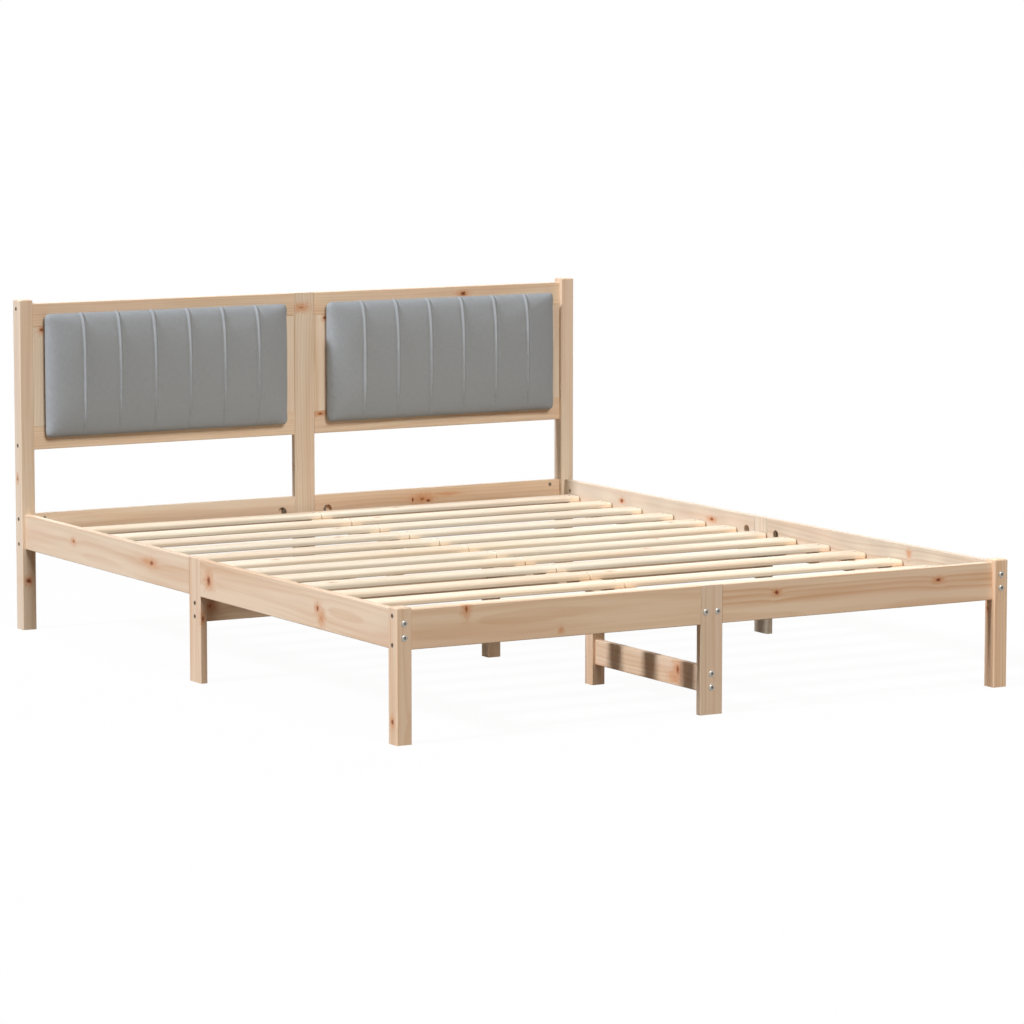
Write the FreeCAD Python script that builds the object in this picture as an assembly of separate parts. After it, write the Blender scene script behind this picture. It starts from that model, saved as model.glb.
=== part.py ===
import FreeCAD, Part
import math
import os

# Pine double bed: X runs across the bed, Y from foot to head, Z up from the floor.
# All sizes are millimetres. The origin is on the floor under the middle of the bed.

# Overall size and corner posts
bed_width = 1655.0
bed_length = 2055.0
post_size = 39.0
head_post_height = 854.0
foot_leg_height = 306.5
post_ease = 2.5
wood_ease = 1.5

# Boards that stand in the middle of the posts' thickness
board_thickness = 18.0
rail_top_height = 300.0
rail_height = 90.0
upright_width = 60.0

# Headboard frame between the head posts
panel_top_height = 843.0
panel_height = 377.0
panel_member_width = 60.0

# Headboard cushions and the plywood boards inside them
cushion_side_margin = 33.0
cushion_top_margin = 28.0
cushion_bottom_margin = 33.0
cushion_depth = 43.0
cushion_end_depth = 22.0
cushion_edge_round = 18.0
cushion_front_crown = 3.0
cushion_corner_inset = 8.0
cushion_gap = 0.3
seam_count = 6
seam_pitch = 100.5
seam_rise = 3.0
seam_half_width = 4.5
end_round_shares = (0.0, 0.12, 0.45, 1.0)
cushion_board_thickness = 9.0
cushion_wrap = 16.0

# Slats and what carries them
support_height = 248.0
ledger_size = 35.0
ledger_end_clearance = 1.0
ledger_middle_gap = 1.0
beam_width = 60.0
slat_width = 60.0
slat_thickness = 14.0
slat_top_ease = 4.0
slat_end_clearance = 3.0
slat_middle_gap = 2.0
slat_end_setback = 56.5
slat_place_shares = (0.0, 0.150, 0.311, 0.481, 0.652, 0.818, 1.0)

# Inner legs, cross beams and stretchers
inner_leg_size = 35.0
brace_height = 60.0
cross_beam_middle_height = 176.0
stretcher_middle_height = 79.0

# Bolts through the posts and uprights into the ends of the boards
bolt_radius = 4.0
bolt_play = 0.2
bolt_head_radius = 6.5
bolt_head_height = 2.5
bolt_sink = 5.0
bolt_reach = 42.0
bore_end_gap = 3.0
near_bolt_spacing = 32.0
far_bolt_spacing = 65.0
panel_bolt_edge = 12.0

# Half-moon nuts in access holes, which draw two rails against an upright
access_radius = 12.5
access_setback = 38.0
access_floor = 4.0
moon_play = 0.3
moon_flat = 4.0
moon_width = 11.0

# One overrun serves all cuts
overrun = 1.0

X = FreeCAD.Vector(1, 0, 0)
Y = FreeCAD.Vector(0, 1, 0)
Z = FreeCAD.Vector(0, 0, 1)
SIDES = (("left", -1), ("right", 1))
ENDS = (("foot", -1), ("head", 1))

# Planes that several pieces share
half_width = bed_width / 2
half_length = bed_length / 2
board_inset = (post_size - board_thickness) / 2
rail_outer_x = half_width - board_inset
rail_inner_x = rail_outer_x - board_thickness
rail_middle_x = rail_outer_x - board_thickness / 2
end_outer_y = half_length - board_inset
end_inner_y = end_outer_y - board_thickness
end_middle_y = end_outer_y - board_thickness / 2
post_inner_x = half_width - post_size
post_inner_y = half_length - post_size
rail_bottom_height = rail_top_height - rail_height
rail_middle_height = rail_top_height - rail_height / 2
panel_bottom_height = panel_top_height - panel_height
beam_bottom_height = support_height - board_thickness
beam_middle_height = support_height - board_thickness / 2
connector_height = support_height + access_radius
quarter_leg_y = end_inner_y / 2
slat_reach = post_inner_y - slat_end_setback

solids = {}
cutters = {}
groups = {"frame_bolts": [], "half_moon_nuts": []}


def place(name, solid):
    """Keep one wooden or soft piece under its name."""
    solids[name] = solid


def cut_later(name, tool):
    """Note a hole that the named piece gets once every piece is there."""
    cutters.setdefault(name, []).append(tool)


def box_between(low, high):
    size = high.sub(low)
    return Part.makeBox(size.x, size.y, size.z, low)


def is_along(edge, axis):
    run = edge.Vertexes[-1].Point.sub(edge.Vertexes[0].Point)
    return abs(run.dot(axis)) > run.Length / 2


def board(low, high, axis):
    """A planed board whose four long edges are eased."""
    solid = box_between(low, high)
    long_edges = [edge for edge in solid.Edges if is_along(edge, axis)]
    return solid.makeChamfer(wood_ease, long_edges)


def mirrored_board(side_x, side_y, low, high, axis):
    """A board given for the right-hand head quarter, mirrored by the signs of its side and end."""
    xs = sorted((side_x * low.x, side_x * high.x))
    ys = sorted((side_y * low.y, side_y * high.y))
    near = FreeCAD.Vector(xs[0], ys[0], low.z)
    far = FreeCAD.Vector(xs[1], ys[1], high.z)
    return board(near, far, axis)


def rod(start, direction, radius, length):
    return Part.makeCylinder(radius, length, start, direction)


def bolt_joint(outer, inner, entry, inward, depth, headed):
    """A bolt through one piece, depth thick, into a blind bore in the end of the next.

    entry lies on the outer piece's far face. A bolt without a head ends inside its bore.
    """
    seat = 0 if headed else bolt_sink
    tip = depth + bolt_reach
    shank = rod(entry + inward * seat, inward, bolt_radius, tip - seat)
    if headed:
        head = rod(entry, inward * -1, bolt_head_radius, bolt_head_height)
        shank = shank.fuse(head).removeSplitter()
    bore_start = entry - inward * overrun
    bore_length = tip + overrun + bore_end_gap
    bore = rod(bore_start, inward, bolt_radius + bolt_play, bore_length)
    cut_later(outer, bore)
    cut_later(inner, bore)
    groups["frame_bolts"].append(shank)


def half_moon_nut(centre, towards, face_side):
    """A disc segment lying against the wall of its access hole on the upright's side."""
    radius = access_radius - moon_play
    across = face_side.cross(towards)
    half_chord = math.sqrt(radius ** 2 - moon_flat ** 2)
    start = centre + face_side * (access_floor - board_thickness / 2) + towards * moon_flat
    first = start - across * half_chord
    last = start + across * half_chord
    crest = start + towards * (radius - moon_flat)
    outline = Part.Wire([Part.Arc(first, crest, last).toShape(), Part.LineSegment(last, first).toShape()])
    return Part.Face(outline).extrude(face_side * moon_width)


def connector(rails, centre, along, face_side):
    """An access hole with a half-moon nut in each of the two rails that meet on an upright."""
    reach = upright_width / 2 + access_setback
    hole_depth = board_thickness - access_floor + overrun
    for name, sign in zip(rails, (-1, 1)):
        hole_middle = centre + along * (sign * reach)
        face = hole_middle + face_side * (board_thickness / 2 + overrun)
        cut_later(name, rod(face, face_side * -1, access_radius, hole_depth))
        groups["half_moon_nuts"].append(half_moon_nut(hole_middle, along * -sign, face_side))


def corner_post(side_x, side_y, height):
    """A square post with eased edges all round except at its foot."""
    xs = sorted((side_x * post_inner_x, side_x * half_width))
    ys = sorted((side_y * post_inner_y, side_y * half_length))
    low = FreeCAD.Vector(xs[0], ys[0], 0)
    high = FreeCAD.Vector(xs[1], ys[1], height)
    post = box_between(low, high)
    eased_edges = [edge for edge in post.Edges if max(v.Z for v in edge.Vertexes) > 0]
    return post.makeChamfer(post_ease, eased_edges)


def make_posts():
    for side, sx in SIDES:
        place("head_post_" + side, corner_post(sx, 1, head_post_height))
        place("foot_leg_" + side, corner_post(sx, -1, foot_leg_height))


def make_uprights():
    """The 60 mm uprights that stand in line with the rails, halfway along each side."""
    half = upright_width / 2
    for side, sx in SIDES:
        low = FreeCAD.Vector(rail_inner_x, -half, 0)
        high = FreeCAD.Vector(rail_outer_x, half, rail_top_height)
        place("mid_leg_" + side, mirrored_board(sx, 1, low, high, Z))
    low = FreeCAD.Vector(-half, end_inner_y, 0)
    foot_top = FreeCAD.Vector(half, end_outer_y, rail_top_height)
    head_top = FreeCAD.Vector(half, end_outer_y, panel_top_height)
    place("foot_leg_centre", mirrored_board(1, -1, low, foot_top, Z))
    place("head_post_centre", mirrored_board(1, 1, low, head_top, Z))


def make_rails():
    """Side, foot and lower head rails, each in two halves that butt on an upright."""
    half = upright_width / 2
    for side, sx in SIDES:
        for end, sy in ENDS:
            low = FreeCAD.Vector(rail_inner_x, half, rail_bottom_height)
            high = FreeCAD.Vector(rail_outer_x, post_inner_y, rail_top_height)
            place("side_rail_" + side + "_" + end, mirrored_board(sx, sy, low, high, Y))
            low = FreeCAD.Vector(half, end_inner_y, rail_bottom_height)
            high = FreeCAD.Vector(post_inner_x, end_outer_y, rail_top_height)
            place(end + "_rail_" + side, mirrored_board(sx, sy, low, high, X))


def make_panel():
    """Two frames of rails and stiles between the head posts and the centre post."""
    half = upright_width / 2
    inner_top = panel_top_height - panel_member_width
    inner_bottom = panel_bottom_height + panel_member_width
    for side, sx in SIDES:
        for name, bottom in (("top", inner_top), ("bottom", panel_bottom_height)):
            low = FreeCAD.Vector(half, end_inner_y, bottom)
            high = FreeCAD.Vector(post_inner_x, end_outer_y, bottom + panel_member_width)
            place("headboard_" + name + "_rail_" + side, mirrored_board(sx, 1, low, high, X))
        for name, start in (("inner", half), ("outer", post_inner_x - panel_member_width)):
            low = FreeCAD.Vector(start, end_inner_y, inner_bottom)
            high = FreeCAD.Vector(start + panel_member_width, end_outer_y, inner_top)
            place("headboard_stile_" + side + "_" + name, mirrored_board(sx, 1, low, high, Z))


def cushion_section(x, depth, inset):
    """One upright slice of a cushion: flat back, short edges, rounded corners and a crowned front."""
    low = panel_bottom_height + cushion_bottom_margin + inset
    high = panel_top_height - cushion_top_margin - inset
    back = end_inner_y - cushion_gap
    front = back - depth
    shoulder = front + cushion_front_crown
    edge = shoulder + cushion_edge_round
    lean = cushion_edge_round * (1 - math.sqrt(1 / 2))

    def at(y, z):
        return FreeCAD.Vector(x, y, z)

    outline = [
        Part.LineSegment(at(back, low), at(edge, low)),
        Part.Arc(at(edge, low), at(shoulder + lean, low + lean), at(shoulder, low + cushion_edge_round)),
        Part.Arc(
            at(shoulder, low + cushion_edge_round),
            at(front, (low + high) / 2),
            at(shoulder, high - cushion_edge_round),
        ),
        Part.Arc(at(shoulder, high - cushion_edge_round), at(shoulder + lean, high - lean), at(edge, high)),
        Part.LineSegment(at(edge, high), at(back, high)),
        Part.LineSegment(at(back, high), at(back, low)),
    ]
    return Part.Wire([curve.toShape() for curve in outline])


def cushion_slices(left, right):
    """The places, depths and end insets of the slices, from one end of a cushion to the other."""
    run = cushion_depth - cushion_end_depth
    ends = []
    for share in end_round_shares:
        fullness = math.sqrt(1 - (1 - share) ** 2)
        depth = cushion_end_depth + run * fullness
        ends.append((share * run, depth, cushion_corner_inset * (1 - fullness)))
    slices = [(left + distance, depth, inset) for distance, depth, inset in ends]
    for index in range(seam_count):
        seam = (left + right) / 2 + (index - (seam_count - 1) / 2) * seam_pitch
        slices.append((seam - seam_half_width, cushion_depth, 0))
        slices.append((seam, cushion_depth + seam_rise, 0))
        slices.append((seam + seam_half_width, cushion_depth, 0))
    slices.extend((right - distance, depth, inset) for distance, depth, inset in reversed(ends))
    return slices


def make_cushions():
    """Foam cushions sewn into upright channels, each wrapped round a plywood board."""
    for side, sx in SIDES:
        near = upright_width / 2 + cushion_side_margin
        far = post_inner_x - cushion_side_margin
        left, right = sorted((sx * near, sx * far))
        wires = [cushion_section(x, depth, inset) for x, depth, inset in cushion_slices(left, right)]
        body = Part.makeLoft(wires, True, True)
        bottom = panel_bottom_height + cushion_bottom_margin + cushion_wrap
        top = panel_top_height - cushion_top_margin - cushion_wrap
        front = end_inner_y - cushion_board_thickness
        low = FreeCAD.Vector(left + cushion_wrap, front, bottom)
        high = FreeCAD.Vector(right - cushion_wrap, end_inner_y, top)
        place("cushion_board_" + side, box_between(low, high))
        gap = FreeCAD.Vector(cushion_gap, cushion_gap, cushion_gap)
        place("cushion_" + side, body.cut(box_between(low - gap, high + gap)))


def make_supports():
    """Ledgers on the side rails, centre beams, inner legs, cross beams and low stretchers."""
    half_leg = inner_leg_size / 2
    half_beam = beam_width / 2
    half_board = board_thickness / 2
    half_brace = brace_height / 2
    ledger_bottom = support_height - ledger_size
    for side, sx in SIDES:
        for end, sy in ENDS:
            low = FreeCAD.Vector(rail_inner_x - ledger_size, ledger_middle_gap / 2, ledger_bottom)
            high = FreeCAD.Vector(rail_inner_x, post_inner_y - ledger_end_clearance, support_height)
            place("slat_ledger_" + side + "_" + end, mirrored_board(sx, sy, low, high, Y))
        low = FreeCAD.Vector(half_leg, -half_board, cross_beam_middle_height - half_brace)
        high = FreeCAD.Vector(rail_inner_x, half_board, cross_beam_middle_height + half_brace)
        place("cross_beam_" + side, mirrored_board(sx, 1, low, high, X))
    for end, sy in ENDS:
        low = FreeCAD.Vector(-half_beam, 0, beam_bottom_height)
        high = FreeCAD.Vector(half_beam, end_inner_y, support_height)
        place("centre_beam_" + end, mirrored_board(1, sy, low, high, Y))
        low = FreeCAD.Vector(-half_leg, quarter_leg_y - half_leg, 0)
        high = FreeCAD.Vector(half_leg, quarter_leg_y + half_leg, beam_bottom_height)
        place("quarter_leg_" + end, mirrored_board(1, sy, low, high, Z))
        low = FreeCAD.Vector(-half_board, quarter_leg_y + half_leg, stretcher_middle_height - half_brace)
        high = FreeCAD.Vector(half_board, end_inner_y, stretcher_middle_height + half_brace)
        place("low_stretcher_" + end, mirrored_board(1, sy, low, high, Y))
    low = FreeCAD.Vector(-half_leg, -half_leg, 0)
    high = FreeCAD.Vector(half_leg, half_leg, beam_bottom_height)
    place("mid_leg_centre", board(low, high, Z))


def slat(start_x, end_x, middle_y):
    """A half-width slat with eased upper edges, lying on a ledger and the centre beam."""
    low = FreeCAD.Vector(start_x, middle_y - slat_width / 2, support_height)
    high = FreeCAD.Vector(end_x, middle_y + slat_width / 2, support_height + slat_thickness)
    solid = box_between(low, high)
    top_edges = [edge for edge in solid.Edges if is_along(edge, X) and edge.Vertexes[0].Z > support_height]
    return solid.makeChamfer(slat_top_ease, top_edges)


def make_slats():
    """Thirteen rows from foot to head, closer together under the middle of the mattress."""
    places = sorted({sign * share * slat_reach for share in slat_place_shares for sign in (-1, 1)})
    inner = slat_middle_gap / 2
    outer = rail_inner_x - slat_end_clearance
    for number, middle_y in enumerate(places, 1):
        halves = [slat(-outer, -inner, middle_y), slat(inner, outer, middle_y)]
        place("slat_row_%02d" % number, Part.makeCompound(halves))


def make_corner_joints():
    """Bolts through the corner posts into the ends of the rails.

    The two on each foot leg's front have their heads outside. Those from the sides are sunk.
    """
    near = near_bolt_spacing / 2
    far = far_bolt_spacing / 2
    for side, sx in SIDES:
        for offset in (-near, near):
            entry = FreeCAD.Vector(sx * rail_middle_x, -half_length, rail_middle_height + offset)
            bolt_joint("foot_leg_" + side, "side_rail_" + side + "_foot", entry, Y, post_size, True)
        panel_bolts = {
            "headboard_top_rail_": panel_top_height - panel_bolt_edge,
            "headboard_bottom_rail_": panel_bottom_height + panel_bolt_edge,
        }
        for rail, height in panel_bolts.items():
            entry = FreeCAD.Vector(sx * half_width, end_middle_y, height)
            bolt_joint("head_post_" + side, rail + side, entry, X * -sx, post_size, False)
        for offset in (-far, far):
            for end, post, sy in (("foot", "foot_leg_", -1), ("head", "head_post_", 1)):
                entry = FreeCAD.Vector(sx * half_width, sy * end_middle_y, rail_middle_height + offset)
                bolt_joint(post + side, end + "_rail_" + side, entry, X * -sx, post_size, False)


def make_middle_joints():
    """Bolts through the uprights into the beams and the stretcher."""
    for offset in (-near_bolt_spacing / 2, near_bolt_spacing / 2):
        entry = FreeCAD.Vector(offset, -end_outer_y, beam_middle_height)
        bolt_joint("foot_leg_centre", "centre_beam_foot", entry, Y, board_thickness, True)
        entry = FreeCAD.Vector(0, -end_outer_y, stretcher_middle_height + offset)
        bolt_joint("foot_leg_centre", "low_stretcher_foot", entry, Y, board_thickness, True)
        for side, sx in SIDES:
            entry = FreeCAD.Vector(sx * rail_outer_x, 0, cross_beam_middle_height + offset)
            bolt_joint("mid_leg_" + side, "cross_beam_" + side, entry, X * -sx, board_thickness, False)


def make_connectors():
    """The connectors that hold the two halves of each rail to the upright between them."""
    for side, sx in SIDES:
        rails = ("side_rail_" + side + "_foot", "side_rail_" + side + "_head")
        connector(rails, FreeCAD.Vector(sx * rail_middle_x, 0, connector_height), Y, X * -sx)
    for end, sy in ENDS:
        rails = (end + "_rail_left", end + "_rail_right")
        connector(rails, FreeCAD.Vector(0, sy * end_middle_y, connector_height), X, Y * -sy)


def export_parts():
    os.makedirs("parts", exist_ok=True)
    for name, solid in solids.items():
        if name in cutters:
            solid = solid.cut(Part.makeCompound(cutters[name]))
        solid.exportStep("parts/" + name + ".step")
    for name, members in groups.items():
        Part.makeCompound(members).exportStep("parts/" + name + ".step")


make_posts()
make_uprights()
make_rails()
make_panel()
make_cushions()
make_supports()
make_slats()
make_corner_joints()
make_middle_joints()
make_connectors()
export_parts()
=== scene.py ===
import math
import random

import bmesh
import bpy
from mathutils import Matrix, Vector


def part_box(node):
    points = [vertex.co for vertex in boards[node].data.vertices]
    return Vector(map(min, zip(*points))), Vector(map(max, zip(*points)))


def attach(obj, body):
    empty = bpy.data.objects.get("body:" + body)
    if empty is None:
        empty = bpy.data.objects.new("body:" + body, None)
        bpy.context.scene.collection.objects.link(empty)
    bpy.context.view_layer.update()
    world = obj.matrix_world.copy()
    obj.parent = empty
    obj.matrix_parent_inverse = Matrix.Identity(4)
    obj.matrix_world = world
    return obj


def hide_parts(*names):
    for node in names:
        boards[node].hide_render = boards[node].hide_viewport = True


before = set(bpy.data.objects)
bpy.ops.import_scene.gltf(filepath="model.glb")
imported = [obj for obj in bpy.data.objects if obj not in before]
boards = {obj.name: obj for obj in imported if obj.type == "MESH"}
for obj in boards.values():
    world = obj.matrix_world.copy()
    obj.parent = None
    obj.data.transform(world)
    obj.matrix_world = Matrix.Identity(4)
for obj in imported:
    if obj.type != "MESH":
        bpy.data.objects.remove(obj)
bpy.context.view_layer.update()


# Posts, legs and uprights: square 39 mm pine at the four corners, 60 mm boards between them and
# 35 mm legs under the middle, planed and with a thin clear satin lacquer. Each is sawn from a log
# of its own, so its rings lie round a heart beside it, and they flow round the knots.

ring_width = 0.0072
heart_near = 0.055
heart_far = 0.125
waver_scale = (1.6, 9, 9)
waver_reach = 0.024
late_start = 0.2
late_peak = 0.85
fibre_scale = (7, 620, 620)
tone_scale = (1.5, 28, 28)
tone_middle = 0.42
blush_scale = (2.4, 13, 13)
branch_bend = 0.010
branch_fade = -0.55
knot_scale = (140, 140, 140)
knot_rings = 17
knot_depth = 0.045
no_knot = {"Near": 50.0, "Core": 50.0, "Halo": 50.0}
glow_along = 3.4
glow_across = 2.3
lacquer = 0.15
lacquer_roughness = 0.25
lacquer_gloss = 0.25
grain_relief = 0.0003


def colour(red, green, blue):
    """A colour picked on screen, from 0 to 255 a channel, as the linear value that shaders take."""
    shares = [channel / 255 for channel in (red, green, blue)]
    linear = [s / 12.92 if s <= 0.04045 else ((s + 0.055) / 1.055) ** 2.4 for s in shares]
    return (*linear, 1)


pink_wood = colour(228, 192, 166)
stained_wood = colour(208, 146, 100)
knot_brown = colour(150, 82, 50)
knot_red = colour(178, 106, 66)
knot_heart = colour(96, 46, 32)


def put(tree, kind, inputs, **settings):
    """Add a shader node, then set its properties and wire or fill its inputs."""
    made = tree.nodes.new("ShaderNode" + kind)
    for setting, value in settings.items():
        setattr(made, setting, value)
    for key, value in inputs.items():
        if isinstance(value, bpy.types.NodeSocket):
            tree.links.new(value, made.inputs[key])
        else:
            made.inputs[key].default_value = value
    return made


def sum_of(tree, operation, *values):
    """One step of arithmetic on shader values."""
    return put(tree, "Math", dict(enumerate(values)), operation=operation).outputs[0]


def fade(tree, value, start, end):
    """A smooth rise from 0 at start to 1 at end, or a fall if end is the lower."""
    inputs = {0: value, 1: min(start, end), 2: max(start, end)}
    inputs.update({3: int(start > end), 4: int(start < end)})
    return put(tree, "MapRange", inputs, interpolation_type="SMOOTHSTEP").outputs[0]


def blended(tree, share, first, second):
    """Two colours mixed by a share."""
    return put(tree, "Mix", {0: share, 6: first, 7: second}, data_type="RGBA").outputs[2]


def vector_of(tree, operation, *vectors):
    """One step of arithmetic on shader vectors, and its outputs."""
    return put(tree, "VectorMath", dict(enumerate(vectors)), operation=operation).outputs


def stretched_noise(tree, vector, stretch, detail):
    """Noise whose grains are stretched by the inverse of the given scales."""
    scaled = vector_of(tree, "MULTIPLY", vector, stretch)[0]
    return put(tree, "TexNoise", {"Vector": scaled, "Scale": 1, "Detail": detail, "Roughness": 0.55})


def new_group(name, inputs, outputs):
    """An empty node group with named sockets, and the nodes at its two ends."""
    tree = bpy.data.node_groups.new(name, "ShaderNodeTree")
    for socket, kind in inputs.items():
        tree.interface.new_socket(socket, in_out="INPUT", socket_type="NodeSocket" + kind)
    for socket, kind in outputs.items():
        tree.interface.new_socket(socket, in_out="OUTPUT", socket_type="NodeSocket" + kind)
    start = tree.nodes.new("NodeGroupInput").outputs
    end = tree.nodes.new("NodeGroupOutput").inputs
    return tree, start, end


def knot_group():
    """How near a point is to the nearest knot, its dark core and the stain round it, in radii."""
    inputs = {socket: "Vector" for socket in ("Vector", "Centre", "Radii", "Stain")}
    inputs["Pale"] = "Float"
    sockets = {"Near": "Float", "Core": "Float", "Halo": "Float"}
    tree, start, end = new_group("pine_knot", {**inputs, **sockets}, sockets)
    away = vector_of(tree, "SUBTRACT", start["Vector"], start["Centre"])[0]
    uneven = stretched_noise(tree, start["Vector"], knot_scale, 2).outputs[0]
    swell = sum_of(tree, "MULTIPLY_ADD", uneven, 1.3, 0.35)
    for socket, radii in (("Near", "Radii"), ("Halo", "Stain")):
        inside = vector_of(tree, "DIVIDE", away, start[radii])[0]
        distance = vector_of(tree, "LENGTH", inside)[1]
        distance = sum_of(tree, "MULTIPLY", distance, swell)
        tree.links.new(sum_of(tree, "MINIMUM", distance, start[socket]), end[socket])
        if socket == "Near":
            core = sum_of(tree, "ADD", distance, start["Pale"])
            tree.links.new(sum_of(tree, "MINIMUM", core, start["Core"]), end["Core"])
    return tree


def figure_group():
    """The figure of sawn pine about a heart along X: yearly rings, fibres, broad tone and knots."""
    inputs = {"Vector": "Vector", "Near": "Float", "Core": "Float", "Halo": "Float"}
    inputs.update({"Early": "Color", "Late": "Color", "Rings": "Float", "Streaks": "Float"})
    outputs = {"Color": "Color", "Height": "Float", "Roughness": "Float"}
    tree, start, end = new_group("pine_figure", inputs, outputs)
    waver = stretched_noise(tree, start["Vector"], waver_scale, 1).outputs[1]
    waver = vector_of(tree, "SUBTRACT", waver, (0.5, 0.5, 0.5))[0]
    waver = vector_of(tree, "MULTIPLY", waver, (0, waver_reach, waver_reach))[0]
    grown = vector_of(tree, "ADD", start["Vector"], waver)[0]
    grown = vector_of(tree, "MULTIPLY", grown, (0, 1, 1))[0]
    radius = vector_of(tree, "LENGTH", grown)[1]
    eye = sum_of(tree, "EXPONENT", sum_of(tree, "MULTIPLY", start["Near"], branch_fade))
    radius = sum_of(tree, "MULTIPLY_ADD", eye, branch_bend, radius)
    years = sum_of(tree, "DIVIDE", radius, ring_width)
    season = sum_of(tree, "FRACT", years)
    year = {"W": sum_of(tree, "FLOOR", years)}
    harvest = put(tree, "TexWhiteNoise", year, noise_dimensions="1D").outputs[0]
    rise = fade(tree, season, late_start, late_peak)
    late = sum_of(tree, "MULTIPLY", rise, fade(tree, season, 1, late_peak))
    late = sum_of(tree, "MULTIPLY", late, sum_of(tree, "MULTIPLY_ADD", harvest, 0.8, 0.2))
    fibre = stretched_noise(tree, start["Vector"], fibre_scale, 2).outputs[0]
    tone = stretched_noise(tree, start["Vector"], tone_scale, 2).outputs[0]
    blush = stretched_noise(tree, start["Vector"], blush_scale, 1).outputs[1]
    blush = put(tree, "SeparateColor", {0: blush}).outputs[2]
    share = sum_of(tree, "MULTIPLY", late, start["Rings"])
    share = sum_of(tree, "ADD", share, sum_of(tree, "MULTIPLY_ADD", fibre, 0.4, -0.2))
    streak = sum_of(tree, "MULTIPLY", sum_of(tree, "SUBTRACT", tone, tone_middle), start["Streaks"])
    share = put(tree, "Clamp", {0: sum_of(tree, "ADD", share, streak)}).outputs[0]
    wood = blended(tree, share, start["Early"], start["Late"])
    pink = sum_of(tree, "MULTIPLY", fade(tree, blush, 0.42, 0.72), 0.3)
    wood = blended(tree, pink, wood, pink_wood)
    stain = sum_of(tree, "MULTIPLY", fade(tree, start["Halo"], 1.25, 0.15), 0.75)
    wood = blended(tree, stain, wood, stained_wood)
    swirl = sum_of(tree, "SINE", sum_of(tree, "MULTIPLY", start["Near"], knot_rings))
    branch = blended(tree, fade(tree, swirl, -1, 1), knot_brown, knot_red)
    core = sum_of(tree, "MULTIPLY", fade(tree, start["Core"], 1.3, 0.75), 0.9)
    wood = blended(tree, core, wood, branch)
    pith = sum_of(tree, "MULTIPLY", fade(tree, start["Core"], 0.8, 0.3), 0.85)
    wood = blended(tree, pith, wood, knot_heart)
    height = sum_of(tree, "MULTIPLY_ADD", fibre, 0.5, sum_of(tree, "MULTIPLY", late, 0.5))
    tree.links.new(wood, end["Color"])
    tree.links.new(height, end["Height"])
    tree.links.new(sum_of(tree, "MULTIPLY_ADD", fibre, 0.16, 0.5), end["Roughness"])
    return tree


pine_knot = knot_group()
pine_figure = figure_group()
turns = {"X": (0, 0, 0), "Y": (0, 0, -math.pi / 2), "Z": (0, math.pi / 2, 0)}


def pine(node, grain, knots, early, late, rings=0.5, coat=lacquer, lean=None):
    """The material of one pine board, whose heart is drawn by its name.

    A knot is its place in millimetres, its radii along X, Y and Z, where 0 goes right through, and how
    pale it is, from 0 for a dark core to 1 for a stain alone. The lean is the way to the heart, as an
    angle round the grain, and the rings are how strong the late wood shows."""
    draw = random.Random(node)
    made = bpy.data.materials.new("pine_" + node)
    made.use_nodes = True
    tree = made.node_tree
    shader = tree.nodes["Principled BSDF"]
    places = put(tree, "TexCoord", {}).outputs["Object"]
    low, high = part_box(node)
    middle = (low + high) / 2
    turn = Matrix.Rotation(turns[grain][2], 3, "Z") @ Matrix.Rotation(turns[grain][1], 3, "Y")
    drawn_lean = draw.uniform(0, 2 * math.pi)
    lean = drawn_lean if lean is None else lean
    far = draw.uniform(heart_near, heart_far)
    heart = turn @ middle + Vector((draw.uniform(0, 3), far * math.cos(lean), far * math.sin(lean)))
    mapping = {"Vector": places, "Location": -heart, "Rotation": turns[grain]}
    sawn = put(tree, "Mapping", mapping, vector_type="POINT").outputs[0]
    found = no_knot
    for place, radii, paleness in knots:
        centre = [along / 1000 for along in place]
        widths = [radius / 1000 if radius else knot_depth for radius in radii]
        glow = [glow_along if axis == grain else glow_across for axis in "XYZ"]
        spread = [width * share for width, share in zip(widths, glow)]
        inputs = {"Vector": places, "Centre": centre, "Radii": widths, "Stain": spread}
        inputs["Pale"] = paleness
        found = put(tree, "Group", {**inputs, **found}, node_tree=pine_knot).outputs
        found = {socket: found[socket] for socket in ("Near", "Core", "Halo")}
    shade = draw.uniform(0.95, 1.03)
    warm = draw.uniform(-0.02, 0.02)
    tint = (shade * (1 + warm), shade, shade * (1 - warm), 1)
    inputs = {"Vector": sawn}
    inputs["Early"] = [channel * share for channel, share in zip(early, tint)]
    inputs["Late"] = [channel * share for channel, share in zip(late, tint)]
    inputs["Rings"] = rings * draw.uniform(0.6, 1.4)
    inputs["Streaks"] = draw.uniform(1.3, 2.4)
    figure = put(tree, "Group", {**inputs, **found}, node_tree=pine_figure).outputs
    relief = {"Height": figure["Height"], "Strength": 0.25, "Distance": grain_relief}
    tree.links.new(figure["Color"], shader.inputs["Base Color"])
    tree.links.new(figure["Roughness"], shader.inputs["Roughness"])
    shader.inputs["Specular IOR Level"].default_value = lacquer_gloss
    shader.inputs["Coat Weight"].default_value = coat
    shader.inputs["Coat Roughness"].default_value = lacquer_roughness
    tree.links.new(put(tree, "Bump", relief).outputs[0], shader.inputs["Normal"])
    return made


def finish_in(node, material):
    """Give a board of the frame its material in every slot."""
    for slot in boards[node].material_slots:
        slot.material = material


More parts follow.
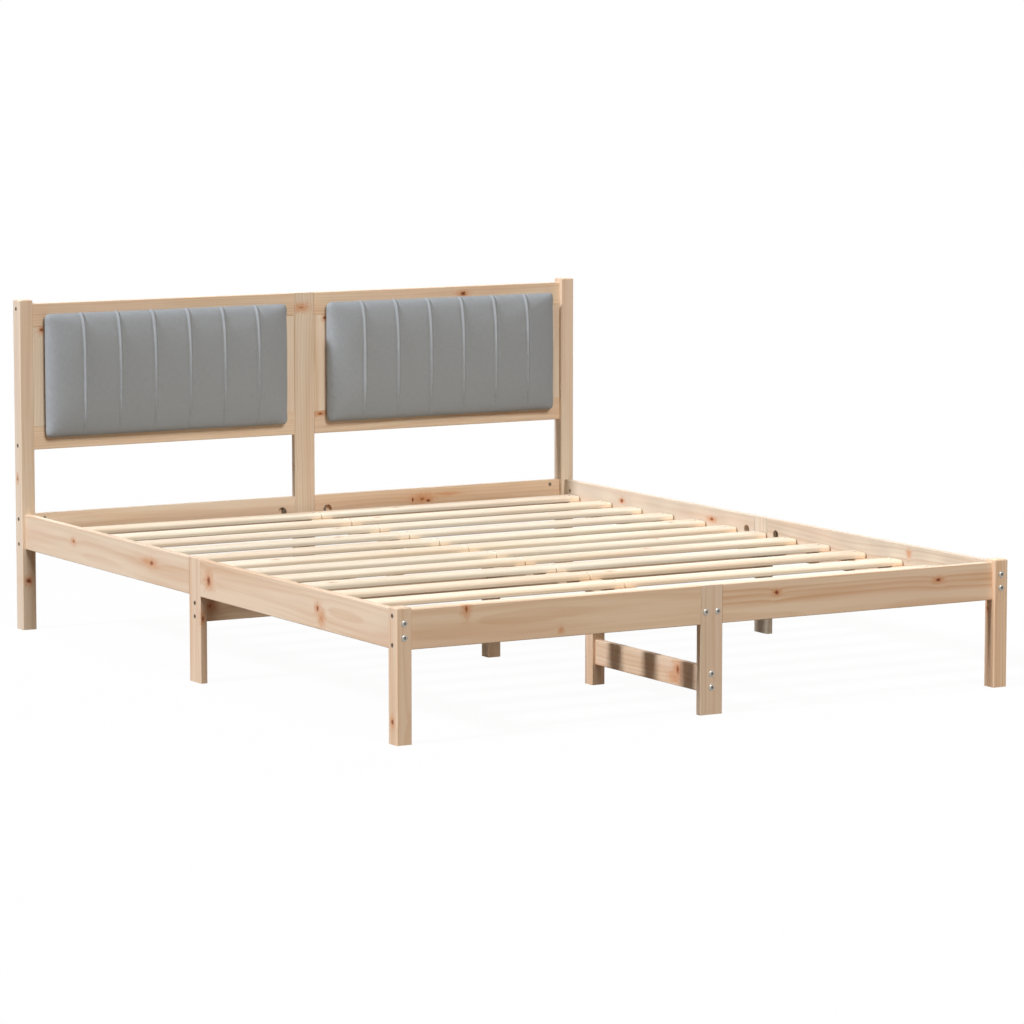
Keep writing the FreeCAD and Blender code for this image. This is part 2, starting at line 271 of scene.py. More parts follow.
lacquered_early = colour(234, 210, 182)
lacquered_late = colour(210, 168, 128)
pale_early = colour(233, 216, 194)
pale_late = colour(209, 179, 146)
# A darker, greyer copy of the lacquered wood for the right rails and the right middle leg: painted shade
# that takes back some of the light bounced on to them.
painted_shade_early = colour(215, 203, 185)
painted_shade_late = colour(196, 171, 142)
post_knots = {
    "head_post_left": [((-809.3, 988.5, 127.5), (7.5, 0, 6), 0), ((-827.5, 1010, 392), (0, 4, 6), 0.3)],
    "head_post_centre": [((-9, 999, 804), (16, 0, 5), 0.75), ((-22, 1017, 380), (6, 7, 5), 0)],
    "foot_leg_left": [((-827.5, -1008, 51), (0, 6, 6), 0.1)],
    "foot_leg_centre": [],
    "foot_leg_right": [((827.5, -1001, 188), (0, 6, 7), 0)],
    "mid_leg_left": [((-810.5, -30, 156.5), (4, 5, 8), 0.3)],
    "mid_leg_right": [((817, -10, 120), (7, 6, 7), 0.3)],
    "head_post_right": [((800, 1027.5, 610), (7, 9, 6), 0), ((827.5, 1002, 300), (9, 6, 7), 0.2)],
    "mid_leg_centre": [],
    "quarter_leg_foot": [],
    "quarter_leg_head": [],
}
for node, knots in post_knots.items():
    if node.startswith("head_post") or node == "foot_leg_centre":
        finish_in(node, pine(node, "Z", knots, pale_early, pale_late))
    elif node == "mid_leg_right":
        # The right middle leg takes the darker colours of painted shade, so it sits with the right
        # rails.
        finish_in(node, pine(node, "Z", knots, painted_shade_early, painted_shade_late))
    else:
        finish_in(node, pine(node, "Z", knots, lacquered_early, lacquered_late))


# Rails and headboard frame: 18 mm boards on edge, in the middle of the posts' thickness. Each side
# is two boards that butt on an upright. The knots lie where the photograph shows them.

rail_knots = {
    "side_rail_left_head": [
        ((-817, 692, 264), (0, 7, 5), 0.3),
        ((-817, 237, 261), (0, 13, 7), 0.3),
        ((-817, 262, 261), (0, 13, 5), 1.0),
    ],
    "side_rail_left_foot": [
        ((-817, -76.5, 255), (0, 10, 13), 0.2),
        ((-817, -634, 258), (0, 6, 7), 0.2),
        ((-817, -652, 237), (0, 7, 12), 0.85),
    ],
    "side_rail_right_head": [((799, 685, 271.5), (0, 7, 5), 0.1), ((799, 235, 269.5), (0, 9, 5), 0.2)],
    "side_rail_right_foot": [((799, -659, 280), (5, 4, 7), 1.3)],
}
for node, knots in rail_knots.items():
    if "right" in node:
        # The right rails take the darker colours of painted shade.
        finish_in(node, pine(node, "Y", knots, painted_shade_early, painted_shade_late))
    else:
        finish_in(node, pine(node, "Y", knots, lacquered_early, lacquered_late))

cross_knots = {
    "foot_rail_left": [
        ((-645, -1017, 291), (5, 14, 13), 0.4),
        ((-401, -1017, 226), (3, 5, 5), 1.1),
    ],
    "foot_rail_right": [((177, -1017, 271), (5.5, 0, 5), 0), ((633, -1017, 269), (7, 0, 5), 0.05)],
    "head_rail_left": [((-560, 1017, 244), (7, 7, 6), 0.1)],
    "head_rail_right": [
        ((328, 999, 270.5), (3, 4, 6), 0),
        ((376, 999, 265.5), (6, 0, 4), 0),
        ((357, 999, 270), (14, 6, 9), 0.6),
        ((436, 1003, 281), (14, 5, 3), 0.8),
    ],
    "headboard_top_rail_left": [((-610, 1017, 806), (7, 7, 6), 0)],
    "headboard_top_rail_right": [((485, 999, 823.5), (8, 9, 5.5), 0)],
    "headboard_bottom_rail_left": [((-250, 1017, 480), (6, 6, 5), 0.2)],
    "headboard_bottom_rail_right": [
        ((47, 999, 518), (10, 7, 4.5), 0.35),
        ((600, 1017, 486), (6, 6, 5), 0.1),
    ],
}
for node, knots in cross_knots.items():
    if node == "foot_rail_left":
        finish_in(node, pine(node, "X", knots, lacquered_early, lacquered_late, rings=0.6, lean=0))
    elif node == "head_rail_left":
        finish_in(node, pine(node, "X", knots, pale_early, lacquered_late, rings=0.15))
    else:
        finish_in(node, pine(node, "X", knots, lacquered_early, lacquered_late))

stile_knots = {
    "headboard_stile_left_outer": [((-761, 999, 775), (6, 9, 5), 0.15)],
    "headboard_stile_left_inner": [((-55, 1017, 640), (5, 7, 6), 0.1)],
    "headboard_stile_right_inner": [((61, 999, 774), (5, 7, 5), 0.2)],
    "headboard_stile_right_outer": [((760, 1017, 700), (6, 6, 6), 0)],
}
for node, knots in stile_knots.items():
    finish_in(node, pine(node, "Z", knots, pale_early, pale_late))


# Slat supports: square ledgers along the side rails, a flat beam down the middle, two cross beams
# and two low stretchers. They are the same lacquered pine.

support_knots = {
    "slat_ledger_left_foot": ("Y", []),
    "slat_ledger_left_head": ("Y", []),
    "slat_ledger_right_foot": ("Y", [((764, -420, 232), (8, 7, 5), 0.1)]),
    "slat_ledger_right_head": ("Y", []),
    "centre_beam_foot": ("Y", []),
    "centre_beam_head": ("Y", []),
    "low_stretcher_foot": ("Y", [((-9, -886, 88), (4, 9, 14), 0.35), ((-9, -874, 68), (4, 12, 9), 0.9)]),
    "low_stretcher_head": ("Y", [((-9, 700, 76), (0, 8, 5), 0.2)]),
    "cross_beam_left": ("X", [((-420, -9, 190), (7, 0, 5), 0), ((-781, -9, 183), (8, 6, 8), 0.5)]),
    "cross_beam_right": ("X", [((300, -9, 170), (7, 0, 5), 0.1)]),
}
for node, (grain, knots) in support_knots.items():
    finish_in(node, pine(node, grain, knots, lacquered_early, lacquered_late))


# Slats: thirteen rows of two, planed from paler pine with rounded upper edges and left bare. The
# corners of the chamfered solids are softened here.

bare_early = colour(246, 235, 214)
bare_late = colour(228, 205, 170)
slat_figure = 0.3
slat_edge_round = 0.0025
slat_weld = 0.00001
slat_knot_size = (5, 4, 0)
slat_knot_along = 760
slat_knot_across = 18
slat_knot_palest = 0.6
slat_rows = sorted(node for node in boards if node.startswith("slat_row_"))

for number, node in enumerate(slat_rows):
    draw = random.Random(number)
    low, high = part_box(node)
    across = (low.y + high.y) * 500 + draw.uniform(-slat_knot_across, slat_knot_across)
    place = (draw.uniform(-slat_knot_along, slat_knot_along), across, high.z * 1000)
    knots = [(place, slat_knot_size, draw.uniform(0, slat_knot_palest))]
    finish_in(node, pine(node, "X", knots, bare_early, bare_late, rings=slat_figure, coat=0))
    weld = boards[node].modifiers.new("weld", "WELD")
    weld.merge_threshold = slat_weld
    edge = boards[node].modifiers.new("rounded", "BEVEL")
    edge.width = slat_edge_round
    edge.segments = 3
    edge.limit_method = "ANGLE"
    edge.angle_limit = math.radians(30)


# Plywood boards: the stiff backs that the cushions are stapled to. Only their backs show, through
# the open headboard frame.

veneer_early = colour(228, 202, 170)
veneer_late = colour(204, 172, 134)
veneer_figure = 0.6
veneer_streaks = 1.6
veneer_roughness = 0.75


def plywood():
    """Rotary cut face veneer with a loose, wide figure."""
    made = bpy.data.materials.new("plywood")
    made.use_nodes = True
    tree = made.node_tree
    shader = tree.nodes["Principled BSDF"]
    places = put(tree, "TexCoord", {}).outputs["Object"]
    inputs = {"Vector": places, **no_knot, "Rings": veneer_figure, "Streaks": veneer_streaks}
    inputs.update({"Early": veneer_early, "Late": veneer_late})
    figure = put(tree, "Group", inputs, node_tree=pine_figure)
    tree.links.new(figure.outputs["Color"], shader.inputs["Base Color"])
    shader.inputs["Roughness"].default_value = veneer_roughness
    return made


veneer = plywood()
for node in ("cushion_board_left", "cushion_board_right"):
    finish_in(node, veneer)


# Half moon nuts: plated steel nuts, cut flat on one side, in the round access holes of the rails,
# where they draw the rails up to the uprights.

mottle_scale = (900, 900, 900)
steel_roughness = 0.22
steel_unevenness = 0.2
turned_segments = 24
crease_angle = math.radians(35)
head_profile = ((1, 0.45), (0.88, 0.35), (0.72, 0.2))
socket_rim = 0.9
socket_depth = 0.32


def plated_steel(name, dull, bright):
    """Plated steel whose shine varies a little."""
    made = bpy.data.materials.new(name)
    made.use_nodes = True
    tree = made.node_tree
    shader = tree.nodes["Principled BSDF"]
    places = put(tree, "TexCoord", {}).outputs["Object"]
    mottle = stretched_noise(tree, places, mottle_scale, 2).outputs[0]
    roughness = sum_of(tree, "MULTIPLY_ADD", mottle, steel_unevenness, steel_roughness)
    tree.links.new(blended(tree, mottle, dull, bright), shader.inputs["Base Color"])
    tree.links.new(roughness, shader.inputs["Roughness"])
    shader.inputs["Metallic"].default_value = 1
    return made


steel = plated_steel("zinc_plate", colour(150, 147, 141), colour(188, 185, 178))
# A dark steel for the flat bolt heads: painted shade that stands for the shade in their sunk holes.
sunk_shade_steel = plated_steel("sunk_shade_steel", colour(122, 108, 92), colour(150, 138, 120))
# The inside of each bolt socket is a darker steel: painted shade in the recess.
socket_shade_steel = plated_steel("socket_shade_steel", colour(112, 104, 92), colour(148, 140, 128))
nut_steel = plated_steel("nut_steel", colour(118, 110, 98), colour(152, 144, 132))
finish_in("half_moon_nuts", nut_steel)


def next_ring(shape, edges, factor, lift):
    """Carry an open loop of edges on to the next ring of a shape turned about Z."""
    made = bmesh.ops.extrude_edge_only(shape, edges=edges)["geom"]
    corners = [part for part in made if isinstance(part, bmesh.types.BMVert)]
    bmesh.ops.scale(shape, vec=(factor, factor, 1), verts=corners)
    bmesh.ops.translate(shape, vec=(0, 0, lift), verts=corners)
    ring = set(corners)
    return [edge for edge in shape.edges if edge.verts[0] in ring and edge.verts[1] in ring]


def make_hexagonal(edges, flat):
    """Draw a round loop of edges into the outline of a hexagon socket."""
    for corner in {corner for edge in edges for corner in edge.verts}:
        angle = math.atan2(corner.co.y, corner.co.x) % (math.pi / 3) - math.pi / 6
        reach = flat / 2 / math.cos(angle)
        corner.co.xy = corner.co.xy.normalized() * reach


def fastener(shank_radius, head_radius, head_height, length, socket):
    """A turned fastener along -Z with its head at the origin and a hexagon socket in the head."""
    shape = bmesh.new()
    bmesh.ops.create_circle(shape, cap_ends=True, radius=shank_radius, segments=turned_segments)
    bmesh.ops.translate(shape, vec=(0, 0, -length), verts=shape.verts)
    edges = next_ring(shape, list(shape.edges), 1, length)
    edges = next_ring(shape, edges, head_radius / shank_radius, 0)
    for factor, rise in head_profile:
        edges = next_ring(shape, edges, factor, head_height * rise)
    edges = next_ring(shape, edges, socket_rim, 0)
    make_hexagonal(edges, socket)
    outside = set(shape.faces)
    edges = next_ring(shape, edges, 1, -socket * socket_depth)
    bmesh.ops.contextual_create(shape, geom=edges)
    # The socket's inner faces take the second slot, the darker steel of painted shade.
    for face in shape.faces:
        face.material_index = 0 if face in outside else 1
    bmesh.ops.recalc_face_normals(shape, faces=shape.faces)
    return shape


def set_of_copies(name, shape, places, material):
    """One piece that holds a copy of a shape at each of the places."""
    whole = bmesh.new()
    single = bpy.data.meshes.new(name + "_single")
    for place in places:
        turned = shape.copy()
        bmesh.ops.transform(turned, matrix=place, verts=turned.verts)
        turned.to_mesh(single)
        turned.free()
        whole.from_mesh(single)
    mesh = bpy.data.meshes.new(name)
    whole.to_mesh(mesh)
    whole.free()
    bpy.data.meshes.remove(single)
    mesh.materials.append(material)
    # The second slot is the darker steel of painted shade inside the sockets.
    mesh.materials.append(socket_shade_steel)
    piece = bpy.data.objects.new(name, mesh)
    bpy.context.scene.collection.objects.link(piece)
    mesh.shade_smooth()
    mesh.set_sharp_from_angle(angle=crease_angle)
    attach(piece, "root")
    return piece


def facing(place, outward):
    """The place and turn of a fastener whose head looks outward."""
    turn = Vector((0, 0, 1)).rotation_difference(outward).to_matrix().to_4x4()
    return Matrix.Translation(place) @ turn


# Frame bolts: hexagon socket bolts through the posts and uprights into the ends of the boards.
# Those on the foot side have domed bright heads. Those from the left and right have flat heads, whose
# dark colour is painted shade that stands for the sunk holes they sit in. The sockets' insides are a
# darker steel, painted shade. At the back only the heads are made, because their shanks are hidden
# in the wood.

bolt_radius = 0.004
bolt_head_radius = 0.0076
bolt_head_height = 0.0028
flat_head_radius = 0.0056
flat_head_height = 0.0004
bolt_reach = 0.042
bolt_socket = 0.0070
flat_socket = 0.0060
near_bolt = 0.016
far_bolt = 0.0325
panel_bolt = 0.018
stub_length = 0.00028


def bolt_entry(outer, inner, inward, shift):
    """Where a bolt goes in: on the outer piece's far face, in line with the inner piece's middle."""
    low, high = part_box(outer)
    place = sum(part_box(inner), Vector()) / 2 + shift
    for axis in range(3):
        if inward[axis]:
            place[axis] = low[axis] if inward[axis] > 0 else high[axis]
    return place


def places_of(bolts, wanted):
    """The places of the bolts of one kind."""
    return [place for place, kind in bolts if kind == wanted]


X, Y, Z = Vector((1, 0, 0)), Vector((0, 1, 0)), Vector((0, 0, 1))
headed = []
flush = []
for side, sign in (("left", 1), ("right", -1)):
    for share in (-1, 1):
        shift = Z * near_bolt * share
        place = bolt_entry("foot_leg_" + side, "side_rail_" + side + "_foot", Y, shift)
        headed.append((facing(place, -Y), "post"))
        place = bolt_entry("head_post_" + side, "side_rail_" + side + "_head", -Y, shift)
        headed.append((facing(place, Y), "back"))
        place = bolt_entry("mid_leg_" + side, "cross_beam_" + side, X * sign, shift)
        flush.append((facing(place, -X * sign), "board"))
        for end, post in (("foot", "foot_leg_"), ("head", "head_post_")):
            shift = Z * far_bolt * share
            place = bolt_entry(post + side, end + "_rail_" + side, X * sign, shift)
            flush.append((facing(place, -X * sign), "post"))
    for rail, share in (("headboard_top_rail_", 1), ("headboard_bottom_rail_", -1)):
        place = bolt_entry("head_post_" + side, rail + side, X * sign, Z * panel_bolt * share)
        flush.append((facing(place, -X * sign), "post"))
for upright, end, inward in (("foot_leg_centre", "foot", Y), ("head_post_centre", "head", -Y)):
    where = "board" if end == "foot" else "back"
    for share in (-1, 1):
        place = bolt_entry(upright, "centre_beam_" + end, inward, X * near_bolt * share)
        headed.append((facing(place, -inward), where))
        place = bolt_entry(upright, "low_stretcher_" + end, inward, Z * near_bolt * share)
        headed.append((facing(place, -inward), where))

post_depth = 0.039
board_depth = 0.018
domed_head = (bolt_radius, bolt_head_radius, bolt_head_height)
flat_head = (bolt_radius, flat_head_radius, flat_head_height)
long_bolt = fastener(*domed_head, post_depth + bolt_reach, bolt_socket)
short_bolt = fastener(*domed_head, board_depth + bolt_reach, bolt_socket)
head_alone = fastener(*domed_head, stub_length, bolt_socket)
long_flat = fastener(*flat_head, post_depth + bolt_reach, flat_socket)
short_flat = fastener(*flat_head, board_depth + bolt_reach, flat_socket)

frame_bolts = [
    set_of_copies("post_bolts", long_bolt, places_of(headed, "post"), steel),
    set_of_copies("upright_bolts", short_bolt, places_of(headed, "board"), steel),
    # The flat heads take the dark steel of painted shade.
    set_of_copies("flat_post_bolts", long_flat, places_of(flush, "post"), sunk_shade_steel),
    set_of_copies("flat_upright_bolts", short_flat, places_of(flush, "board"), sunk_shade_steel),
]
for piece in frame_bolts:
    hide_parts("frame_bolts")
set_of_copies("back_bolt_heads", head_alone, places_of(headed, "back"), steel)


# Slat screws: one countersunk screw at each end of every half slat, into the beam and the ledgers.
# Only their heads show, a little above the wood.

screw_head_radius = 0.0038
screw_head_height = 0.0006
screw_from_middle = 0.0085
screw_from_rail_end = 0.0145
screw_segments = 16
screw_profile = ((0.94, 1), (0.5, 0.2), (0.7, -1))

screw = bmesh.new()
bmesh.ops.create_circle(screw, cap_ends=True, radius=screw_head_radius, segments=screw_segments)
rim = list(screw.edges)
for factor, rise in screw_profile:
    rim = next_ring(screw, rim, factor, screw_head_height * rise)
bmesh.ops.contextual_create(screw, geom=rim)
bmesh.ops.recalc_face_normals(screw, faces=screw.faces)
screw_places = []
for node in slat_rows:
    low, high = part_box(node)
    middle_y = (low.y + high.y) / 2
    ends = (low.x + screw_from_rail_end, high.x - screw_from_rail_end)
    for x in (ends[0], -screw_from_middle, screw_from_middle, ends[1]):
        screw_places.append(Matrix.Translation((x, middle_y, high.z)))
set_of_copies("slat_screws", screw, screw_places, steel)


# Barrel nuts: steel cross dowels let into the rails' inner faces, which the bolts screw into. Only
# their ends show, a hair above the wood, with a hollow for the tool.

nut_radius = 0.005
nut_stand = 0.0002
nut_from_end = 0.030
nut_profile = ((1, 1), (0.86, 0.5), (0.4, 0), (1, -1))

barrel = bmesh.new()
bmesh.ops.create_circle(barrel, cap_ends=True, radius=nut_radius, segments=turned_segments)
rim = list(barrel.edges)
for factor, rise in nut_profile:
    rim = next_ring(barrel, rim, factor, nut_stand * rise)
bmesh.ops.contextual_create(barrel, geom=rim)
bmesh.ops.recalc_face_normals(barrel, faces=barrel.faces)
nut_places = []
for side, sign in (("left", 1), ("right", -1)):
    for end, along in (("foot", 1), ("head", -1)):
        low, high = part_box("side_rail_" + side + "_" + end)
        x = high.x if sign > 0 else low.x
        y = low.y + nut_from_end if end == "foot" else high.y - nut_from_end
        nut_places.append(facing(Vector((x, y, (low.z + high.z) / 2 + near_bolt)), X * sign))
        low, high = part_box(end + "_rail_" + side)
        y = high.y if end == "foot" else low.y
        x = low.x + nut_from_end if sign > 0 else high.x - nut_from_end
        for share in (-1, 1):
            place = Vector((x, y, (low.z + high.z) / 2 + far_bolt * share))
            nut_places.append(facing(place, Y * along))
set_of_copies("barrel_nuts", barrel, nut_places, nut_steel)


# Cushions: foam in grey woven cloth, stapled round the plywood boards. Six raised tucks are sewn
# into each, run over its top edge and fade towards the bottom.

cloth_light = colour(161, 166, 170)
cloth_dark = colour(147, 152, 156)
cloth_roughness = 0.92
cloth_gloss = 0.2
cloth_sheen = 0.15
cloth_sheen_roughness = 0.5
thread_pitch = 0.0016
thread_relief = 0.0003
slub_length = 60
slub_width = 900
foam_voxel = 0.0059
foam_smoothing = 10
foam_growth = 0.005
foam_edge = 0.016
foam_corner = 0.012
foam_crown = 0.014
crown_across = 10
crown_up = 4
tuck_under = 0.011
wrap_depth = 0.017
cloth_mass = 0.3
cloth_stiffness = 12
cloth_bending = 0.4
cloth_pressure = 4
cloth_frames = 20
swell_limit = 0.005
tuck_count = 6
tuck_pitch = 0.1005
tuck_shift = 0.003
tuck_height = 0.0030
tuck_width = 0.0032
stitch_depth = 0.0010
stitch_beside = 0.0066
tuck_cuts = (0.001, 0.0024, 0.0038, 0.0055, 0.0075, 0.0095)
tuck_fade = 0.05
tuck_on_top = 0.4


def weave_group():
    """A plain weave of uneven threads, unrolled from the cushion's front over its rounded edges."""
    outputs = {"Thread": "Float", "Mix": "Float"}
    tree, start, end = new_group("cloth_weave", {"Vector": "Vector"}, outputs)
    apart = put(tree, "SeparateXYZ", {0: start["Vector"]}).outputs
    weft = sum_of(tree, "ADD", apart[0], apart[1])
    warp = sum_of(tree, "SUBTRACT", apart[2], apart[1])
    turn = 2 * math.pi / thread_pitch
    over = sum_of(tree, "SINE", sum_of(tree, "MULTIPLY", weft, turn))
    under = sum_of(tree, "SINE", sum_of(tree, "MULTIPLY", warp, turn))
    thread = sum_of(tree, "MULTIPLY_ADD", sum_of(tree, "MULTIPLY", over, under), 0.5, 0.5)
    laid = put(tree, "CombineXYZ", {0: weft, 1: warp, 2: 0}).outputs[0]
    weft_slubs = stretched_noise(tree, laid, (slub_length, slub_width, 1), 2).outputs[0]
    warp_slubs = stretched_noise(tree, laid, (slub_width, slub_length, 1), 2).outputs[0]
    slubs = sum_of(tree, "MULTIPLY_ADD", sum_of(tree, "ADD", weft_slubs, warp_slubs), 1.3, -0.8)
    tree.links.new(thread, end["Thread"])
    tree.links.new(put(tree, "Clamp", {0: slubs}).outputs[0], end["Mix"])
    return tree


def grey_cloth():
    """Mottled grey furniture cloth with a soft sheen."""
    made = bpy.data.materials.new("grey_cloth")
    made.use_nodes = True
    tree = made.node_tree
    shader = tree.nodes["Principled BSDF"]
    places = put(tree, "TexCoord", {}).outputs["Object"]
    weave = put(tree, "Group", {"Vector": places}, node_tree=weave_group()).outputs
    mottled = blended(tree, weave["Mix"], cloth_dark, cloth_light)
    relief = {"Height": weave["Thread"], "Strength": 0.35, "Distance": thread_relief}
    tree.links.new(mottled, shader.inputs["Base Color"])
    tree.links.new(put(tree, "Bump", relief).outputs[0], shader.inputs["Normal"])
    shader.inputs["Roughness"].default_value = cloth_roughness
    shader.inputs["Sheen Weight"].default_value = cloth_sheen
    shader.inputs["Sheen Roughness"].default_value = cloth_sheen_roughness
    shader.inputs["Specular IOR Level"].default_value = cloth_gloss
    return made


def evaluated_mesh(piece, name):
    """The mesh of a piece as its modifiers leave it."""
    seen = piece.evaluated_get(bpy.context.evaluated_depsgraph_get())
    filled = bpy.data.meshes.new_from_object(seen)
    filled.name = name
    return filled


def foam_block(name, low, high):
    """A block of even squares with a crowned front and soft edges, drawn in where it is stapled."""
    shape = bmesh.new()
    bmesh.ops.create_cube(shape, size=1)
    size = high - low
    size.x += 2 * foam_growth
    size.z += 2 * foam_growth
    size.y -= foam_crown + tuck_height
    bmesh.ops.scale(shape, vec=size, verts=shape.verts)
    middle = (low + high) / 2
    middle.y = high.y - size.y / 2
    bmesh.ops.translate(shape, vec=middle, verts=shape.verts)
    rounding = {"affect": "EDGES", "profile": 0.5, "material": -1}
    corners = [edge for edge in shape.edges if abs(edge.verts[0].co.y - edge.verts[1].co.y) > foam_edge]
    bmesh.ops.bevel(shape, geom=corners, offset=foam_corner, segments=4, **rounding)
    front_y = middle.y - size.y / 2 + 0.0001
    front = [edge for edge in shape.edges if max(corner.co.y for corner in edge.verts) < front_y]
    bmesh.ops.bevel(shape, geom=front, offset=foam_edge, segments=6, **rounding)
    mesh = bpy.data.meshes.new(name)
    shape.to_mesh(mesh)
    shape.free()
    block = bpy.data.objects.new(name, mesh)
    bpy.context.scene.collection.objects.link(block)
    remesh = block.modifiers.new("even", "REMESH")
    remesh.mode = "VOXEL"
    remesh.voxel_size = foam_voxel
    smooth = block.modifiers.new("softened", "SMOOTH")
    smooth.iterations = foam_smoothing
    block.data = evaluated_mesh(block, name)
    block.modifiers.clear()
    for corner in block.data.vertices:
        across = 1 - (2 * (corner.co.x - middle.x) / size.x) ** crown_across
        up = 1 - (2 * (corner.co.z - middle.z) / size.z) ** crown_up
        depth = (high.y - corner.co.y) / size.y
        drawn_in = tuck_under * max(0, 1 - (high.y - corner.co.y) / wrap_depth) ** 2
        corner.co.x -= drawn_in * (corner.co.x - middle.x) / (size.x / 2)
        corner.co.z -= drawn_in * (corner.co.z - middle.z) / (size.z / 2)
        corner.co.y -= foam_crown * max(0, across) * max(0, up) * depth
    return block


def swell(block, back):
    """Let the cloth fill under gentle pressure, with its back edge held by the staples."""
    before = [corner.co.copy() for corner in block.data.vertices]
    held = block.vertex_groups.new(name="stapled")
    held.add([i for i, place in enumerate(before) if place.y > back - foam_voxel / 2], 1, "REPLACE")
    cloth = block.modifiers.new("cloth", "CLOTH")
    cloth.settings.quality = 5
    cloth.settings.mass = cloth_mass
    cloth.settings.tension_stiffness = cloth_stiffness
    cloth.settings.compression_stiffness = cloth_stiffness
    cloth.settings.bending_stiffness = cloth_bending
    cloth.settings.use_pressure = True
    cloth.settings.uniform_pressure_force = cloth_pressure
    cloth.settings.vertex_group_mass = "stapled"
    cloth.settings.effector_weights.gravity = 0
    cloth.point_cache.frame_start = 1
    cloth.point_cache.frame_end = cloth_frames
    for step in range(1, cloth_frames + 1):
        bpy.context.scene.frame_set(step)
    filled = evaluated_mesh(block, block.name)
    moves = [corner.co - start for corner, start in zip(filled.vertices, before)]
    longest = max(move.length for move in moves)
    for corner, start, move in zip(filled.vertices, before, moves):
        corner.co = start + move * min(1, swell_limit / longest)
    block.modifiers.clear()
    block.vertex_groups.clear()
    block.data = filled
    bpy.context.scene.frame_set(1)


def sew_tucks(block, low, high):
    """Raise the tucks over the front and top, with a stitched groove on each side of them."""
    shape = bmesh.new()
    shape.from_mesh(block.data)
    middle = (low.x + high.x) / 2 + tuck_shift
    lines = [middle + (number - (tuck_count - 1) / 2) * tuck_pitch for number in range(tuck_count)]
    cuts = [-cut for cut in reversed(tuck_cuts)] + list(tuck_cuts)
    for line in lines:
        for beside in cuts:
            every = shape.verts[:] + shape.edges[:] + shape.faces[:]
            cut = Vector((line + beside, 0, 0))
            bmesh.ops.bisect_plane(shape, geom=every, dist=0.00002, plane_co=cut, plane_no=X)
    shape.normal_update()
    moves = []
    for corner in shape.verts:
        beside = min((corner.co.x - line for line in lines), key=abs)
        raised = tuck_height * math.exp(-((beside / tuck_width) ** 2))
        groove = stitch_depth * math.exp(-(((abs(beside) - stitch_beside) / tuck_width) ** 2))
        facing_out = max(0, min(1, 1.6 * max(-corner.normal.y, tuck_on_top * corner.normal.z)))
        above = max(0, min(1, (corner.co.z - low.z) / tuck_fade))
        moves.append((raised - groove) * facing_out * above ** 0.7)
    for corner, move in zip(shape.verts, moves):
        corner.co += corner.normal * move
    shape.to_mesh(block.data)
    shape.free()


cloth_finish = grey_cloth()
for side in ("left", "right"):
    low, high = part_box("cushion_" + side)
    cushion = foam_block("padded_cushion_" + side, low, high)
    swell(cushion, high.y)
    sew_tucks(cushion, low, high)
    cushion.data.materials.clear()
    cushion.data.materials.append(cloth_finish)
    for face in cushion.data.polygons:
        face.use_smooth = True
    soft = cushion.modifiers.new("soft", "SUBSURF")
    soft.levels = soft.render_levels = 1
    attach(cushion, "root")
    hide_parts("cushion_" + side)


# Floor and light: a plain white floor that keeps a faint soft shadow, light from all round, one
# broad lamp high on the left, a large soft screen in front and a weak fill from behind the right.

floor_size = 60
floor_white = (0.86, 0.86, 0.86, 1)
floor_bounce = (0.16, 0.12, 0.09, 1)
white = (1, 1, 1, 1)
shadow_share = 0.04
room_light = 0.15
room_tint = (1.0, 0.84, 0.68, 1)
lamp_strength = 2.98
lamp_spread = math.radians(7)
lamp_tint = (0.965, 1.0, 1.08)
lamp_towards = Vector((0.79, 0.0, -0.613))
screen_strength = 1.74
screen_spread = math.radians(22)
screen_tint = (1.0, 0.985, 0.96)
screen_towards = Vector((0.05, 0.84, -0.54))
fill_strength = 1.9
fill_spread = math.radians(70)
fill_tint = (1.0, 0.93, 0.85)
fill_towards = Vector((-0.69, -0.71, -0.15))


def seen_directly(tree):
    """1 for rays that show the background, to the camera, in a gloss or through glass."""
    path = put(tree, "LightPath", {}).outputs
    either = sum_of(tree, "MAXIMUM", path["Is Camera Ray"], path["Is Glossy Ray"])
    return sum_of(tree, "MAXIMUM", either, path["Is Transmission Ray"])


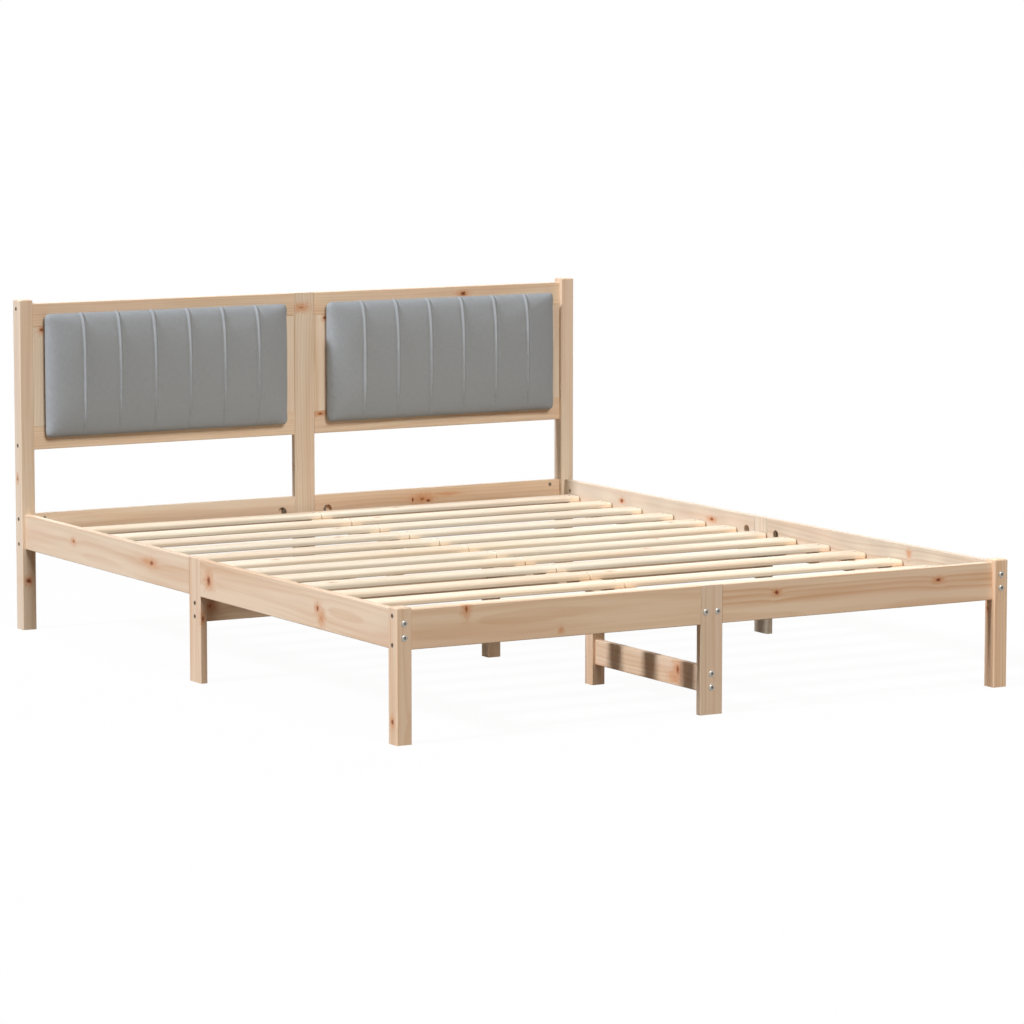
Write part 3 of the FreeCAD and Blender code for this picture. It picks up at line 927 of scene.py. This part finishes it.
slab = bmesh.new()
bmesh.ops.create_grid(slab, x_segments=1, y_segments=1, size=floor_size / 2)
floor_mesh = bpy.data.meshes.new("floor")
slab.to_mesh(floor_mesh)
slab.free()
floor = bpy.data.objects.new("floor", floor_mesh)
bpy.context.scene.collection.objects.link(floor)
paint = bpy.data.materials.new("white_floor")
paint.use_nodes = True
tree = paint.node_tree
tree.nodes.clear()
seen = seen_directly(tree)
matt = put(tree, "BsdfDiffuse", {"Color": blended(tree, seen, floor_bounce, floor_white)}).outputs[0]
glow = put(tree, "Emission", {"Color": white, "Strength": 1}).outputs[0]
glow_share = sum_of(tree, "MULTIPLY", seen, 1 - shadow_share)
mixed = put(tree, "MixShader", {0: glow_share, 1: matt, 2: glow}).outputs[0]
put(tree, "OutputMaterial", {0: mixed})
floor_mesh.materials.append(paint)

room = bpy.data.worlds.new("room")
bpy.context.scene.world = room
room.use_nodes = True
tree = room.node_tree
tree.nodes.clear()
seen = seen_directly(tree)
strength = sum_of(tree, "MULTIPLY_ADD", seen, 1 - room_light, room_light)
light = put(tree, "Background", {0: blended(tree, seen, room_tint, white), 1: strength}).outputs[0]
put(tree, "OutputWorld", {0: light})

for name, strength, spread, tint, towards in (
    ("lamp", lamp_strength, lamp_spread, lamp_tint, lamp_towards),
    ("screen", screen_strength, screen_spread, screen_tint, screen_towards),
    ("fill", fill_strength, fill_spread, fill_tint, fill_towards),
):
    lamp = bpy.data.lights.new(name, "SUN")
    lamp.energy = strength
    lamp.angle = spread
    lamp.color = tint
    lamp_object = bpy.data.objects.new(name, lamp)
    bpy.context.scene.collection.objects.link(lamp_object)
    lamp_object.rotation_mode = "QUATERNION"
    lamp_object.rotation_quaternion = towards.to_track_quat("-Z", "Y")


# Camera: at the photograph's place, which was worked out from the bed's straight edges. It is level
# from side to side and has no shift.

camera_place = (-5.5399, -9.6787, 1.7147)
camera_turn = math.radians(-30.0535)
camera_dip = math.radians(6.9188)
camera_lens = 159.36

camera = bpy.data.cameras.new("camera")
camera.lens = camera_lens
camera.sensor_width = 36
camera.clip_end = 100
camera_object = bpy.data.objects.new("camera", camera)
bpy.context.scene.collection.objects.link(camera_object)
camera_object.location = camera_place
camera_object.rotation_euler = (math.pi / 2 - camera_dip, 0, camera_turn)
bpy.context.scene.camera = camera_object
bpy.context.scene.view_settings.view_transform = "Standard"
